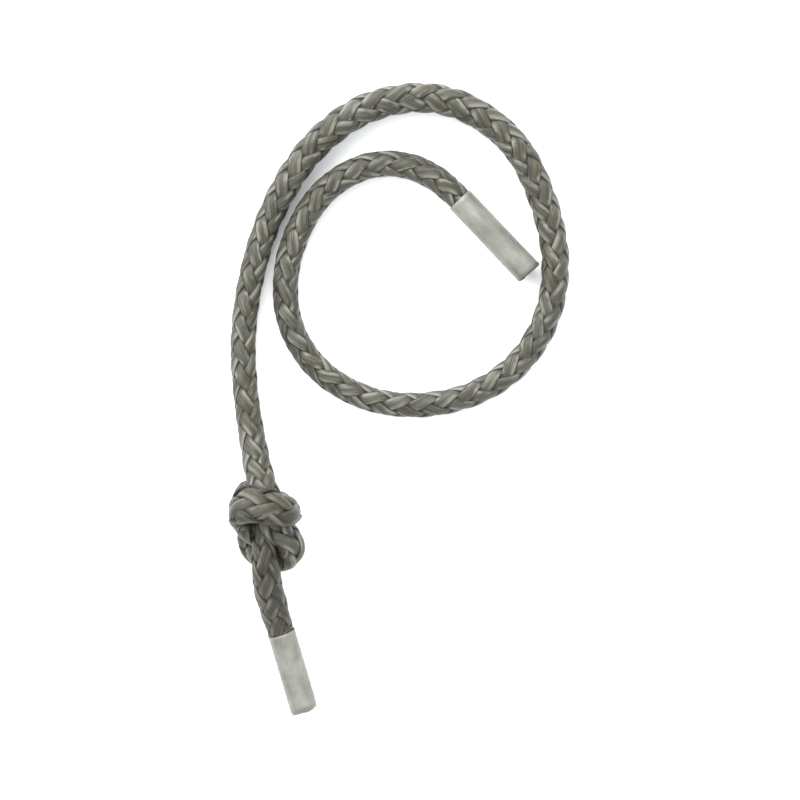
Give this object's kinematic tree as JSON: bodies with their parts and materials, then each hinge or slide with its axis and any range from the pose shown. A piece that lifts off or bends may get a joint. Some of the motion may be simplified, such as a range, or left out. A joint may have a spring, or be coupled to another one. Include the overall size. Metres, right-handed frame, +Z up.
{
  "type": "knotted braided cord",
  "caption": "Short length of hollow-braided lifting cord in a loose open curl, with an overhand stopper knot near its tail and a taped sleeve on each cut end.",
  "frame": {"origin": "bottom centre of the bounding box, on the surface the cord lies on", "axes": "+Z up from the surface; +Y along the longest side, from the tail end towards the far side of the curl; +X across the curl"},
  "size_m": [0.0736, 0.1358, 0.0185],
  "materials": {
    "braided_rope": "uncoated woven fibre, slight sheen along the filaments",
    "white_tape": "semi-gloss film, slightly wrinkled"
  },
  "bodies": {
    "root": {"rope_standing_part": "braided_rope", "overhand_knot": "braided_rope", "rope_tail": "braided_rope", "curl_end_tape": "white_tape", "tail_end_tape": "white_tape"}
  },
  "joints": []
}
